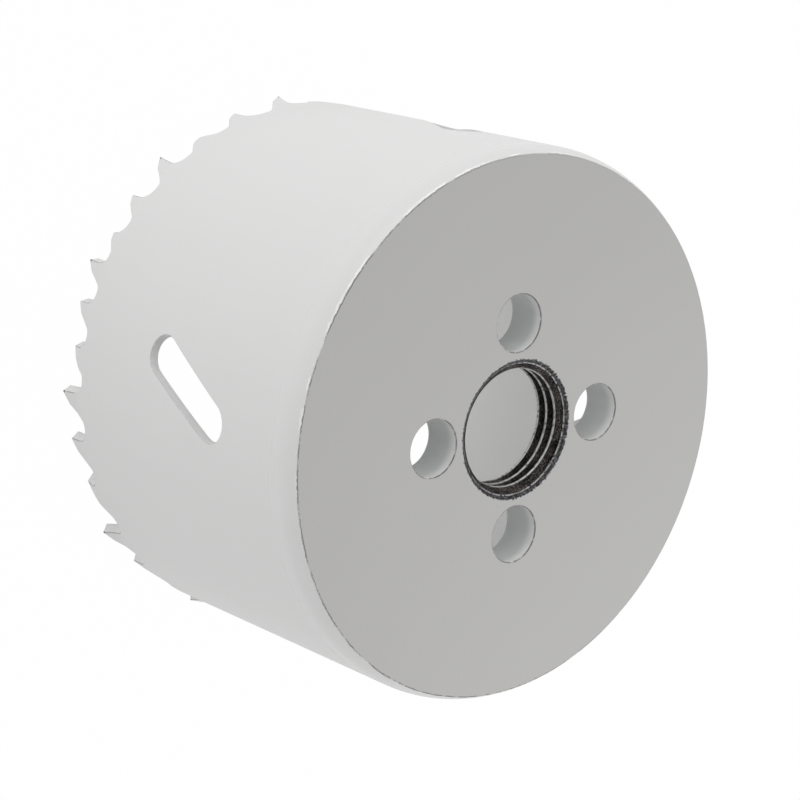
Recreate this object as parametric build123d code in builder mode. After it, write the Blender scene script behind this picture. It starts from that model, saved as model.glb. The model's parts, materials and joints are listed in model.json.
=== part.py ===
"""Hole saw: a rolled steel cup wall with saw teeth, welded to a round back plate.

The saw stands on its tooth tips with the back plate on top. The origin is on the saw's axis at the
level of the tooth tips, and +Z points out of the back plate. Sizes are in millimetres and degrees.
"""

import os
from math import cos, degrees, radians, sin, tan

from build123d import *

# Cup
SAW_DIAMETER = 67.0
SAW_HEIGHT = 44.7
WALL_THICKNESS = 1.1

# Back plate: a flange of the saw's diameter over a spigot that sits inside the wall
PLATE_THICKNESS = 5.0
FLANGE_THICKNESS = 3.7
SPIGOT_CLEARANCE = 0.05
RIM_INSET = 0.78
RIM_HEIGHT = 2.6

# Threaded arbor bore, at the thread's minor diameter
BORE_DIAMETER = 14.4
COUNTERSINK_DIAMETER = 17.0
COUNTERSINK_DEPTH = 0.9
INNER_COUNTERSINK_DIAMETER = 16.4
INNER_COUNTERSINK_DEPTH = 0.7

# Drive-pin holes
PIN_COUNT = 4
PIN_CIRCLE_DIAMETER = 25.8
PIN_HOLE_DIAMETER = 6.9
PIN_ANGLE = 10.3

# Slanted ejection slots, in two opposite pairs, placed down from the back plate's outer face
SLOT_PAIR_ANGLE = 88.0
SLOT_LENGTH = 16.6
SLOT_WIDTH = 5.0
SLOT_TILT = 29.0
SLOT_DROP = 20.65

# Teeth: each number is one pitch, and the pattern repeats round the saw
PITCH_PATTERN = (
    10.3, 10.4, 10.1, 8.9, 7.4, 8.7, 9.45, 9.65, 10.6,
    10.7, 12.9, 10.9, 9.9, 9.6, 9.5, 9.5, 9.4, 12.1,
)
PATTERN_REPEATS = 2
FIRST_TOOTH_ANGLE = -66.0

# Gullet form: lengths in pitches, and angles from the line of the tips
GULLET_DEPTH = 0.55
RELIEF_LENGTH = 0.25
RELIEF_ANGLE = 32.0
BACK_ANGLE = 50.0
FACE_RADIUS = 0.27
BACK_RADIUS = 0.17

# The gullets run through the wall at a slant: their inner edges lie this far ahead of the outer ones
GULLET_SKEW = 0.6

# Tooth set: the teeth run straight, inwards, outwards, and the inward ones are a little shorter
OUTWARD_SET = 0.65
INWARD_SET = 0.65
INWARD_TIP_RAISE = 0.1

# The set bends the teeth below this share of the shallowest gullet
SET_START = 0.95

# Cutters reach past the faces that they cut
CUT_MARGIN = 1.0

outer_radius = SAW_DIAMETER / 2
inner_radius = outer_radius - WALL_THICKNESS
wall_top = SAW_HEIGHT - FLANGE_THICKNESS
plate_bottom = SAW_HEIGHT - PLATE_THICKNESS
slot_height = SAW_HEIGHT - SLOT_DROP

pattern_length = len(PITCH_PATTERN)
tooth_count = pattern_length * PATTERN_REPEATS
pattern_angle = 360 / PATTERN_REPEATS
pitch_angles = [pattern_angle * share / sum(PITCH_PATTERN) for share in PITCH_PATTERN]
set_height = SET_START * GULLET_DEPTH * outer_radius * radians(min(pitch_angles))
cut_reach = WALL_THICKNESS + max(INWARD_SET, OUTWARD_SET) + CUT_MARGIN

# The back slope starts where the relief ends, and the floor's flat stretch lies between its corners
relief_rise = RELIEF_LENGTH * tan(radians(RELIEF_ANGLE))
back_length = (GULLET_DEPTH - relief_rise) / tan(radians(BACK_ANGLE))
floor_start = RELIEF_LENGTH + back_length + BACK_RADIUS * tan(radians(BACK_ANGLE / 2))
floor_middle = (floor_start + 1 - FACE_RADIUS) / 2
half_skew_angle = degrees(GULLET_SKEW / 2 / outer_radius)

# Each tooth's tip offset from the wall and tip height, in the order straight, inwards, outwards
tooth_forms = ((0.0, 0.0), (-INWARD_SET, INWARD_TIP_RAISE), (OUTWARD_SET, 0.0))


def section_plane(angle):
    """A plane through the axis: x runs outwards and y up."""
    turn = radians(angle)
    return Plane(origin=(0, 0, 0), x_dir=(cos(turn), sin(turn), 0), z_dir=(sin(turn), -cos(turn), 0))


def wall_plane(angle, height=0):
    """A plane that touches the wall's outside: x runs round the wall and y up."""
    turn = radians(angle)
    foot = (outer_radius * cos(turn), outer_radius * sin(turn), height)
    return Plane(origin=foot, x_dir=(-sin(turn), cos(turn), 0), z_dir=(cos(turn), sin(turn), 0))


def tooth_form(tooth):
    """A tooth's tip offset and tip height."""
    return tooth_forms[tooth % len(tooth_forms)]


def pitch_angle(tooth):
    """The angle from a tooth's tip to the next one."""
    return pitch_angles[tooth % pattern_length]


def tip_angle(tooth):
    """The angle of a tooth's tip round the saw."""
    whole_patterns, place = divmod(tooth, pattern_length)
    return FIRST_TOOTH_ANGLE + whole_patterns * pattern_angle + sum(pitch_angles[:place])


def gullet(tooth):
    """A cutter for the gap behind a tooth, from its tip to the next face, right through the wall."""
    angle = pitch_angle(tooth)
    pitch = outer_radius * radians(angle)
    half_width = outer_radius * sin(radians(angle / 2))
    tip_height = tooth_form(tooth)[1]
    floor = GULLET_DEPTH * pitch
    relief_end = -half_width + RELIEF_LENGTH * pitch
    relief_top = max(relief_rise * pitch, tip_height + relief_rise * pitch / 2)
    shift = (relief_top - relief_rise * pitch) / tan(radians(BACK_ANGLE))
    plane = wall_plane(tip_angle(tooth) + angle / 2)
    with BuildPart() as cutter:
        with BuildSketch(plane) as outline:
            with BuildLine():
                Polyline(
                    (-half_width, -CUT_MARGIN),
                    (-half_width, tip_height),
                    (relief_end + shift, relief_top),
                    (relief_end + back_length * pitch, floor),
                    (half_width, floor),
                    (half_width, -CUT_MARGIN),
                    close=True,
                )
            make_face()
            back_corner = outline.vertices().group_by(Axis.Y)[-1].sort_by(Axis.X)[0]
            fillet(back_corner, radius=BACK_RADIUS * pitch)
            face_corner = outline.vertices().group_by(Axis.Y)[-1].sort_by(Axis.X)[-1]
            fillet(face_corner, radius=FACE_RADIUS * pitch)
        slant = plane.z_dir * WALL_THICKNESS + plane.x_dir * GULLET_SKEW
        extrude(amount=cut_reach, dir=slant, both=True)
    return cutter.part


gullets = [gullet(tooth) for tooth in range(tooth_count)]

# The bent part of each tooth of one pattern: a leaning section, cut by the gullets beside it
bent_teeth = []
for tooth in range(pattern_length):
    offset, tip_height = tooth_form(tooth)
    start = tip_angle(tooth) - (1 - floor_middle) * pitch_angle(tooth - 1) - half_skew_angle
    end = tip_angle(tooth) + floor_middle * pitch_angle(tooth) - half_skew_angle
    with BuildPart() as section:
        with BuildSketch(section_plane(start)):
            Polygon(
                (inner_radius, set_height),
                (outer_radius, set_height),
                (outer_radius + offset, tip_height),
                (inner_radius + offset, tip_height),
                align=None,
            )
        revolve(axis=Axis.Z, revolution_arc=end - start)
        add([gullets[tooth - 1], gullets[tooth]], mode=Mode.SUBTRACT)
    bent_teeth.append(section.part)

with BuildPart() as cup_wall:
    # The plain wall, with the gullets cut into its lower edge
    with BuildSketch(Plane.XZ):
        with Locations((inner_radius, set_height)):
            Rectangle(WALL_THICKNESS, wall_top - set_height, align=(Align.MIN, Align.MIN))
    revolve(axis=Axis.Z)
    add(gullets, mode=Mode.SUBTRACT)

    # The slanted slots
    slot_angles = (0, SLOT_PAIR_ANGLE, 180, 180 + SLOT_PAIR_ANGLE)
    slot_planes = [wall_plane(angle, slot_height) for angle in slot_angles]
    with BuildSketch(*slot_planes):
        SlotOverall(SLOT_LENGTH, SLOT_WIDTH, rotation=90 - SLOT_TILT)
    extrude(amount=cut_reach, both=True, mode=Mode.SUBTRACT)

    # The bent parts of the teeth, on the lands between the gullets
    for repeat in range(PATTERN_REPEATS):
        add([bent_tooth.rotate(Axis.Z, repeat * pattern_angle) for bent_tooth in bent_teeth])

with BuildPart() as back_plate:
    # Turned blank: face, curved rim, flange and spigot
    spigot_radius = inner_radius - SPIGOT_CLEARANCE
    rim_radius = (RIM_INSET**2 + RIM_HEIGHT**2) / (2 * RIM_INSET)
    rim_foot = (outer_radius, SAW_HEIGHT - RIM_HEIGHT)
    with BuildSketch(Plane.XZ):
        with BuildLine():
            face = Line((0, SAW_HEIGHT), (outer_radius - RIM_INSET, SAW_HEIGHT))
            RadiusArc(face @ 1, rim_foot, rim_radius)
            Polyline(
                rim_foot,
                (outer_radius, wall_top),
                (spigot_radius, wall_top),
                (spigot_radius, plate_bottom),
                (0, plate_bottom),
                (0, SAW_HEIGHT),
            )
        make_face()
    revolve(axis=Axis.Z)

    # Arbor bore with its countersinks
    bore_radius = BORE_DIAMETER / 2
    with BuildSketch(Plane.XZ):
        Polygon(
            (0, plate_bottom),
            (INNER_COUNTERSINK_DIAMETER / 2, plate_bottom),
            (bore_radius, plate_bottom + INNER_COUNTERSINK_DEPTH),
            (bore_radius, SAW_HEIGHT - COUNTERSINK_DEPTH),
            (COUNTERSINK_DIAMETER / 2, SAW_HEIGHT),
            (0, SAW_HEIGHT),
            align=None,
        )
    revolve(axis=Axis.Z, mode=Mode.SUBTRACT)

    # Drive-pin holes
    with BuildSketch(Plane.XY.offset(SAW_HEIGHT)):
        with PolarLocations(PIN_CIRCLE_DIAMETER / 2, PIN_COUNT, start_angle=PIN_ANGLE):
            Circle(PIN_HOLE_DIAMETER / 2)
    extrude(amount=-PLATE_THICKNESS, mode=Mode.SUBTRACT)

os.makedirs("parts", exist_ok=True)
for node, piece in (("cup_wall", cup_wall), ("back_plate", back_plate)):
    piece.part.label = node
    export_step(piece.part, f"parts/{node}.step")
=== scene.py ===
"""Hole saw: the enamelled cup wall with its teeth and slots, the painted back plate with its
threaded arbor bore and drive-pin holes, and a small photo studio.

The saw stands on its tooth tips, with its axis on +Z and the back plate on top. Pieces are built in
millimetres and made into meshes in metres.
"""

import json
from math import acos, atan2, ceil, cos, degrees, pi, radians, sin, tan

import bmesh
import bpy
import numpy as np
from bpy.props import FloatProperty, FloatVectorProperty, IntProperty, PointerProperty
from mathutils import Matrix, Vector
from mathutils.geometry import delaunay_2d_cdt


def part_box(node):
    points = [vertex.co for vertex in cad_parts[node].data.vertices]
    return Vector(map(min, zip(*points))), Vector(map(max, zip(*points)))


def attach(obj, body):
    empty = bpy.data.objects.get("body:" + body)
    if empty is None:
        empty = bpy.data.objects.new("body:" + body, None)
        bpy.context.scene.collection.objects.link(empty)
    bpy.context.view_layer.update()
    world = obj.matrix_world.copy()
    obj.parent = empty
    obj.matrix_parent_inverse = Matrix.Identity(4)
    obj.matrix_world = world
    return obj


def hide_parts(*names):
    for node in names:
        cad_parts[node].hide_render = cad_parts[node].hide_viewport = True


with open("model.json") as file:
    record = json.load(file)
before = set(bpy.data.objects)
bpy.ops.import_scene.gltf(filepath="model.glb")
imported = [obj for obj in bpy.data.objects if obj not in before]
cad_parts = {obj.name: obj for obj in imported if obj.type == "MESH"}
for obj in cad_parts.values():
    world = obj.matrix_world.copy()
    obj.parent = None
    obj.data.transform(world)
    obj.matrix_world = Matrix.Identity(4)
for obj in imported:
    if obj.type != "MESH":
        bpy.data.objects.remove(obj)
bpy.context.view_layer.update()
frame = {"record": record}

bl_info = {
    "name": "Hole Saw",
    "version": (1, 0, 0),
    "blender": (4, 5, 0),
    "location": "View3D > Sidebar > Hole Saw",
    "description": "Builds an enamelled hole saw with set teeth and a threaded back plate",
    "category": "Object",
}

MM = 0.001
BODY = "root"

plate_low, plate_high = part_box("back_plate")
_, wall_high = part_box("cup_wall")
mounts = {mount["name"]: mount for mount in frame["record"]["mounts"]}
bore_dims = mounts["arbor_thread"]["dims"]
pin_dims = mounts["drive_pins"]["dims"]

# Teeth: each number is one pitch, and the pattern repeats round the saw
PITCH_PATTERN = (
    10.3, 10.4, 10.1, 8.9, 7.4, 8.7, 9.45, 9.65, 10.6,
    10.7, 12.9, 10.9, 9.9, 9.6, 9.5, 9.5, 9.4, 12.1,
)
PATTERN_REPEATS = 2
FIRST_TOOTH_ANGLE = -66.0

# Gullet form: lengths in pitches
GULLET_DEPTH = 0.55
RELIEF_LENGTH = 0.25
RELIEF_ANGLE = radians(32.0)
BACK_ANGLE = radians(50.0)
FACE_RADIUS = 0.27
BACK_RADIUS = 0.17

# The set starts at this share of the shallowest gullet, and this power bends it to the tips
SET_START = 0.95
SET_CURVE = 1.2

# Roundings of the tooth line, in millimetres: where the relief ends, and an outward tooth's tip
RELIEF_END_RADIUS = 0.5
SHARP_TIP_RADIUS = 0.04

# The gullets' slant fades out from this height up to the join of the teeth and the plain wall
SKEW_FADE_HEIGHT = 4.4
JOIN_HEIGHT = 7.5

# The slots lie in two opposite pairs
SLOT_PAIR_COUNT = 2
PIN_COUNT = 4

# The thread's flat crests and roots, as shares of half a pitch
CREST_END = 0.13
ROOT_START = 0.875

# Mesh density: columns round the saw, rows, points and pieces, and steps: every third column
# on the face, and otherwise in millimetres and, for fillets, degrees
COLUMNS = 360
PANEL_ROWS = 22
SLOT_POINTS = 40
PIN_POINTS = 64
FACE_RINGS = 16
SPOKE_STEP = 3
FLOOR_POINTS = 64
RIM_PIECES = 8
SIDE_PIECES = 4
LINE_STEP = 0.45
RIM_STEP = 0.5
FILLET_STEP = 15
TOOTH_GRID_START = 0.6
TOOTH_GRID_STEP = 0.55

# How far the points inside a face stay from its outline or its holes, in millimetres
OUTLINE_GAP = 0.32
JOIN_GAP = 0.4
HOLE_GAP = 0.5
MOUTH_GAP = 0.5

# How far in on the face the rim's section is drawn from, and how much of that is kept
RIM_RUN_IN = 2.0
RIM_MARGIN = 0.6

# Points this near are welded, in millimetres
WELD_DISTANCE = 0.002

# A point gets a face's exact normal if it is this near to a round face, in millimetres, and
# looks at least this squarely away from a round or a flat face
ON_FACE = 1e-3
ROUND_FACING = 0.6
FLAT_FACING = 0.94

# Asks mathutils for the triangles inside an outline, and the distance that makes two points one
INSIDE_OUTLINE = 1
SAME_POINT = 1e-6

# The rings of an edge's rounding, front and back, that are darkened by wear and, on the wall, by
# painted shade, and how dark the slots' edges are
DARKENED_RINGS = (1, 2, 3, 6, 7, 8)
SLOT_EDGE_DARKENING = 0.5

# Colours that no setting holds
# Dark steel at the worn tips, and along the edges as wear and painted shade
WORN_AND_SHADED_ENAMEL = (0.05, 0.047, 0.047, 1)
WORN_PAINT = (0.1, 0.09, 0.085, 1)
# A painted highlight beside the rim's edge
RIM_PAINTED_HIGHLIGHT = (0.97, 0.97, 0.96, 1)
# Painted shade deep in the holes
HOLE_PAINTED_SHADE = (0.575, 0.59, 0.585, 1)
BURNT_STEEL = ((0.009, 0.0085, 0.009, 1), (0.15, 0.135, 0.125, 1))
GRITTY_STEEL = ((0.03, 0.029, 0.031, 1), (0.19, 0.19, 0.2, 1))
# Rubbed steel and painted highlight, on the thread's crests and the countersink's lip
RUBBED_AND_HIGHLIGHT_STEEL = (0.6, 0.6, 0.6, 1)
FLOOR_COLOR = (0.8, 0.8, 0.8, 1)
WHITE = (1, 1, 1, 1)

# The lamps: turned from -Y and raised by degrees, and their distance and size in metres
KEY_LAMP = {"azimuth": 20, "elevation": 14, "distance": 0.6, "size": 0.5}
FILL_LAMP = {"azimuth": -125, "elevation": 40, "distance": 0.26, "size": 0.25}

# How white the background is in gloss, and how much less the floor glows there
GLOSSY_WHITE = 0.3
GLOSSY_DIMMING = 0.75

# The camera sees the floor nearly white, with the saw's shadow faint on it
SEEN_FLOOR = 0.99


class WallSettings(bpy.types.PropertyGroup):
    """Sizes of the cup wall and its teeth."""

    diameter: FloatProperty(
        name="Diameter",
        description="Outside diameter of the saw",
        default=plate_high.x - plate_low.x,
        unit="LENGTH",
    )
    thickness: FloatProperty(
        name="Thickness",
        description="Thickness of the steel strip",
        default=1.1 * MM,
        unit="LENGTH",
    )
    outward_set: FloatProperty(
        name="Outward set",
        description="How far the tips of the outward teeth lean out",
        default=0.65 * MM,
        unit="LENGTH",
    )
    inward_set: FloatProperty(
        name="Inward set",
        description="How far the tips of the inward teeth lean in",
        default=0.65 * MM,
        unit="LENGTH",
    )
    inward_raise: FloatProperty(
        name="Inward tip raise",
        description="How much shorter the inward teeth are",
        default=0.1 * MM,
        unit="LENGTH",
    )
    gullet_skew: FloatProperty(
        name="Gullet skew",
        description="How far the gullets' inner edges lie ahead of their outer ones",
        default=0.6 * MM,
        unit="LENGTH",
    )
    tip_radius: FloatProperty(
        name="Tip radius",
        description="Rounding of the straight and inward tooth tips under the enamel",
        default=0.12 * MM,
        unit="LENGTH",
    )
    edge_radius: FloatProperty(
        name="Edge radius",
        description="Rounding of the tooth edges",
        default=0.1 * MM,
        unit="LENGTH",
    )
    slot_length: FloatProperty(
        name="Slot length",
        description="Overall length of a slanted slot",
        default=16.6 * MM,
        unit="LENGTH",
    )
    slot_width: FloatProperty(
        name="Slot width",
        description="Width of a slanted slot",
        default=5.0 * MM,
        unit="LENGTH",
    )
    slot_tilt: FloatProperty(
        name="Slot tilt",
        description="Lean of the slots from the saw's axis",
        default=radians(29.0),
        subtype="ANGLE",
    )
    slot_pair_angle: FloatProperty(
        name="Slot pair angle",
        description="Angle from one pair of slots to the other",
        default=radians(88.0),
        subtype="ANGLE",
    )
    slot_drop: FloatProperty(
        name="Slot drop",
        description="Depth of the slots' middle below the back plate's face",
        default=20.65 * MM,
        unit="LENGTH",
    )
    slot_edge_radius: FloatProperty(
        name="Slot edge radius",
        description="Rounding of the slots' outer edges",
        default=0.12 * MM,
        unit="LENGTH",
    )
    color: FloatVectorProperty(
        name="Enamel",
        description="Colour of the glossy enamel",
        default=(0.8, 0.8, 0.796),
        subtype="COLOR",
    )


class PlateSettings(bpy.types.PropertyGroup):
    """Sizes of the back plate."""

    face_radius: FloatProperty(
        name="Face radius",
        description="Radius of the flat outer face",
        default=32.72 * MM,
        unit="LENGTH",
    )
    rim_height: FloatProperty(
        name="Rim height",
        description="Height of the curved rim",
        default=2.6 * MM,
        unit="LENGTH",
    )
    rim_edge_radius: FloatProperty(
        name="Rim edge radius",
        description="Rounding between the face and the rim",
        default=0.12 * MM,
        unit="LENGTH",
    )
    spigot_clearance: FloatProperty(
        name="Spigot clearance",
        description="Gap between the spigot and the inside of the wall",
        default=0.05 * MM,
        unit="LENGTH",
    )
    pin_circle: FloatProperty(
        name="Pin circle",
        description="Diameter of the circle that the drive-pin holes lie on",
        default=pin_dims["pcd_mm"] * MM,
        unit="LENGTH",
    )
    pin_radius: FloatProperty(
        name="Pin hole radius",
        description="Radius of a drive-pin hole",
        default=pin_dims["hole_r_mm"] * MM,
        unit="LENGTH",
    )
    pin_angle: FloatProperty(
        name="Pin angle",
        description="Angle of the first drive-pin hole round the saw",
        default=radians(10.3),
        subtype="ANGLE",
    )
    # The rim's dark line is darkest at this angle
    dark_line_side: FloatProperty(
        name="Worn side",
        description="Angle round the saw at which the rim's edge is worn most",
        default=radians(30.0),
        subtype="ANGLE",
    )
    pin_edge_radius: FloatProperty(
        name="Pin hole edge radius",
        description="Rounding of the drive-pin holes' edges",
        default=0.16 * MM,
        unit="LENGTH",
    )
    color: FloatVectorProperty(
        name="Plate paint",
        description="Colour of the matt paint",
        default=(0.48, 0.476, 0.469),
        subtype="COLOR",
    )


class ThreadSettings(bpy.types.PropertyGroup):
    """Sizes of the arbor thread and its countersinks."""

    minor_radius: FloatProperty(
        name="Minor radius",
        description="Radius at the thread's crests",
        default=bore_dims["r_mm"] * MM,
        unit="LENGTH",
    )
    major_radius: FloatProperty(
        name="Major radius",
        description="Radius at the thread's roots",
        default=7.94 * MM,
        unit="LENGTH",
    )
    pitch: FloatProperty(
        name="Pitch",
        description="Distance from crest to crest",
        default=1.411 * MM,
        unit="LENGTH",
    )
    mouth_radius: FloatProperty(
        name="Mouth radius",
        description="Radius of the countersink at the outer face",
        default=8.5 * MM,
        unit="LENGTH",
    )
    mouth_depth: FloatProperty(
        name="Mouth depth",
        description="Depth at which the countersink reaches the crests",
        default=0.9 * MM,
        unit="LENGTH",
    )
    back_radius: FloatProperty(
        name="Back radius",
        description="Radius of the countersink at the inner face",
        default=8.2 * MM,
        unit="LENGTH",
    )
    first_crest: FloatProperty(
        name="First crest",
        description="Depth of the first crest on the -X side",
        default=1.27 * MM,
        unit="LENGTH",
    )
    rows: IntProperty(
        name="Rows",
        description="Rows of faces down the bore",
        default=110,
        min=8,
    )


class StageSettings(bpy.types.PropertyGroup):
    """The camera, the lamps and the floor."""

    camera_azimuth: FloatProperty(
        name="Camera azimuth",
        description="Turn of the camera round the saw from -Y",
        default=radians(77.458),
        subtype="ANGLE",
    )
    camera_elevation: FloatProperty(
        name="Camera elevation",
        description="Height of the camera above the horizon",
        default=radians(47.253),
        subtype="ANGLE",
    )
    camera_roll: FloatProperty(
        name="Camera roll",
        description="Turn of the picture, anticlockwise",
        default=radians(107.953),
        subtype="ANGLE",
    )
    camera_distance: FloatProperty(
        name="Camera distance",
        description="Distance from the camera to its aim point",
        default=281.3 * MM,
        unit="LENGTH",
    )
    aim_x: FloatProperty(
        name="Aim X",
        description="Place of the aim point on the back plate's face, along X",
        default=18.97 * MM,
        unit="LENGTH",
    )
    aim_y: FloatProperty(
        name="Aim Y",
        description="Place of the aim point on the back plate's face, along Y",
        default=-3.32 * MM,
        unit="LENGTH",
    )
    lens: FloatProperty(
        name="Lens",
        description="Focal length, in millimetres, on a sensor 36 mm wide",
        default=112.6,
    )
    ambient: FloatProperty(
        name="Ambient light",
        description="Strength of the white light from all round",
        default=0.643,
    )
    ambient_lean: FloatProperty(
        name="Ambient lean",
        description="Share by which the light from all round is stronger on the key lamp's side",
        default=0.4,
    )
    floor_glow: FloatProperty(
        name="Floor glow",
        description="Share of the floor's light that comes from under it, as on a light table",
        default=0.7,
    )
    key_power: FloatProperty(
        name="Key lamp",
        description="Power of the large soft lamp",
        default=0.62,
        unit="POWER",
    )
    fill_power: FloatProperty(
        name="Fill lamp",
        description="Power of the lamp behind the back plate",
        default=0.25,
        unit="POWER",
    )
    floor_radius: FloatProperty(
        name="Floor radius",
        description="Radius of the round floor",
        default=2.0,
        unit="LENGTH",
    )


class Value:
    """An output socket that can stand in Python expressions."""

    def __init__(self, graph, socket):
        self.graph = graph
        self.socket = socket

    def __add__(self, other):
        return self.graph.math("ADD", self, other)

    def __radd__(self, other):
        return self.graph.math("ADD", other, self)

    def __sub__(self, other):
        return self.graph.math("SUBTRACT", self, other)

    def __rsub__(self, other):
        return self.graph.math("SUBTRACT", other, self)

    def __mul__(self, other):
        return self.graph.math("MULTIPLY", self, other)

    def __rmul__(self, other):
        return self.graph.math("MULTIPLY", other, self)

    def __truediv__(self, other):
        return self.graph.math("DIVIDE", self, other)

    def __rtruediv__(self, other):
        return self.graph.math("DIVIDE", other, self)

    def __abs__(self):
        return self.graph.math("ABSOLUTE", self)


class Graph:
    """Adds nodes to one node tree and links them."""

    def __init__(self, tree):
        self.tree = tree

    def plug(self, node, name, value):
        """Gives the named input of a node a value or a link."""
        named = [s for s in node.inputs if s.identifier == name]
        named = named or [s for s in node.inputs if s.name == name]
        if isinstance(value, Value):
            self.tree.links.new(value.socket, named[0])
        else:
            named[0].default_value = value

    def add(self, kind, settings=None, inputs=None, output=None):
        """Adds a node and returns one of its outputs, or the node itself if it has none."""
        node = self.tree.nodes.new(kind)
        for name, setting in (settings or {}).items():
            setattr(node, name, setting)
        for name, value in (inputs or {}).items():
            self.plug(node, name, value)
        shown = [s for s in node.outputs if s.enabled]
        if output:
            shown = [s for s in node.outputs if output in (s.identifier, s.name)]
        return Value(self, shown[0]) if shown else node

    def math(self, operation, *values):
        """A Math node on one or more numbers."""
        node = self.tree.nodes.new("ShaderNodeMath")
        node.operation = operation
        for socket, value in zip(node.inputs, values):
            if isinstance(value, Value):
                self.tree.links.new(value.socket, socket)
            else:
                socket.default_value = value
        return Value(self, node.outputs[0])

    def ramp(self, value, start, end, low=0.0, high=1.0):
        """Goes smoothly from low to high as the value goes from start to end."""
        settings = {"interpolation_type": "SMOOTHSTEP"}
        inputs = {"Value": value, "From Min": start, "From Max": end, "To Min": low, "To Max": high}
        return self.add("ShaderNodeMapRange", settings, inputs)

    def band(self, value, middle, reach, core=0.0):
        """Is 1 where the value is within the core of the middle, and 0 past its reach."""
        return self.ramp(abs(value - middle), reach, core)

    def blend(self, factor, first, second):
        """Mixes two colours."""
        inputs = {"Factor_Float": factor, "A_Color": first, "B_Color": second}
        return self.add("ShaderNodeMix", {"data_type": "RGBA"}, inputs, "Result_Color")

    def noise(self, place, scale, detail=2.0, roughness=0.5):
        """Smooth noise, from 0 to 1, with features of about 1 / scale metres."""
        inputs = {"Vector": place, "Scale": scale, "Detail": detail, "Roughness": roughness}
        return self.add("ShaderNodeTexNoise", {}, inputs, "Fac")


def flat_offsets(line, closed):
    """How each point of a flat line moves when the whole line moves one unit to its left."""
    points = np.array(line, float)
    ahead = np.roll(points, -1, axis=0) - points
    if not closed:
        ahead[-1] = ahead[-2]
    ahead /= np.linalg.norm(ahead, axis=1)[:, None]
    left = np.stack((-ahead[:, 1], ahead[:, 0]), axis=1)
    before = np.roll(left, 1, axis=0)
    if not closed:
        before[0] = left[0]
    joined = left + before
    return joined / (1 + (left * before).sum(axis=1))[:, None]


def moved_left(line, closed, distance):
    """A flat line moved to its left. Where it turns too tightly, its points meet in a corner."""
    moved = line + flat_offsets(line, closed) * distance
    turned = (np.diff(line, axis=0) * np.diff(moved, axis=0)).sum(axis=1) < 0
    place = 1
    while place < len(turned) - 1:
        last = place
        while turned[last] and last < len(turned) - 1:
            last += 1
        if last > place:
            enter = moved[place] - moved[place - 1]
            leave = moved[last + 1] - moved[last]
            share, _ = np.linalg.solve(np.column_stack((enter, -leave)), moved[last] - moved[place])
            moved[place : last + 1] = moved[place] + enter * share
        place = last + 1
    return moved


def filleted(corners, radii, step):
    """A closely spaced flat line through corners, with each inner corner rounded to its radius."""
    points = [np.array(corner, float) for corner in corners]
    line = [points[0]]
    for before, corner, after, radius in zip(points, points[1:], points[2:], radii):
        enter = (corner - before) / np.linalg.norm(corner - before)
        leave = (after - corner) / np.linalg.norm(after - corner)
        turn = acos(np.clip(enter @ leave, -1, 1))
        side = np.sign(enter[0] * leave[1] - enter[1] * leave[0])
        reach = radius * tan(turn / 2)
        start = corner - enter * reach
        pieces = 0
        if radius:
            pieces = max(1, ceil(turn * radius / step), ceil(degrees(turn) / FILLET_STEP))
        across = side * np.array((-enter[1], enter[0]))
        centre = start + across * radius
        for place in range(pieces + 1):
            angle = turn * place / max(pieces, 1)
            line.append(centre - across * radius * cos(angle) + enter * radius * sin(angle))
    line.append(points[-1])
    spaced = [line[0]]
    for point in line[1:]:
        length = np.linalg.norm(point - spaced[-1])
        if length < step / 100:
            continue
        start = spaced[-1]
        runs = ceil(length / step)
        spaced.extend(start + (point - start) * run / runs for run in range(1, runs + 1))
    return np.array(spaced)


def inside(points, loop):
    """Which flat points lie inside a closed loop."""
    result = np.zeros(len(points), bool)
    for (x0, y0), (x1, y1) in zip(loop, np.roll(loop, -1, axis=0)):
        crossed = (y0 > points[:, 1]) != (y1 > points[:, 1])
        if y0 != y1:
            where = x0 + (points[:, 1] - y0) * (x1 - x0) / (y1 - y0)
            result ^= crossed & (points[:, 0] < where)
    return result


def clear_of(points, lines, distance):
    """The points that lie at least that far from every point of the lines."""
    near = np.vstack(lines)
    gaps = np.linalg.norm(points[:, None] - near[None], axis=2).min(axis=1)
    return points[gaps > distance]


def edge_rings(front_radius, back_radius, thickness, pieces=4):
    """Inset and depth of each ring of points from a sheet's front, round its edge, to its back."""
    turns = [pi / 2 * piece / pieces for piece in range(pieces + 1)]
    bows = [(1 - sin(turn), 1 - cos(turn)) for turn in turns]
    front = [(front_radius * inset, front_radius * depth) for inset, depth in bows]
    back = [(back_radius * inset, thickness - back_radius * depth) for inset, depth in bows]
    return front + back[::-1]


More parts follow.
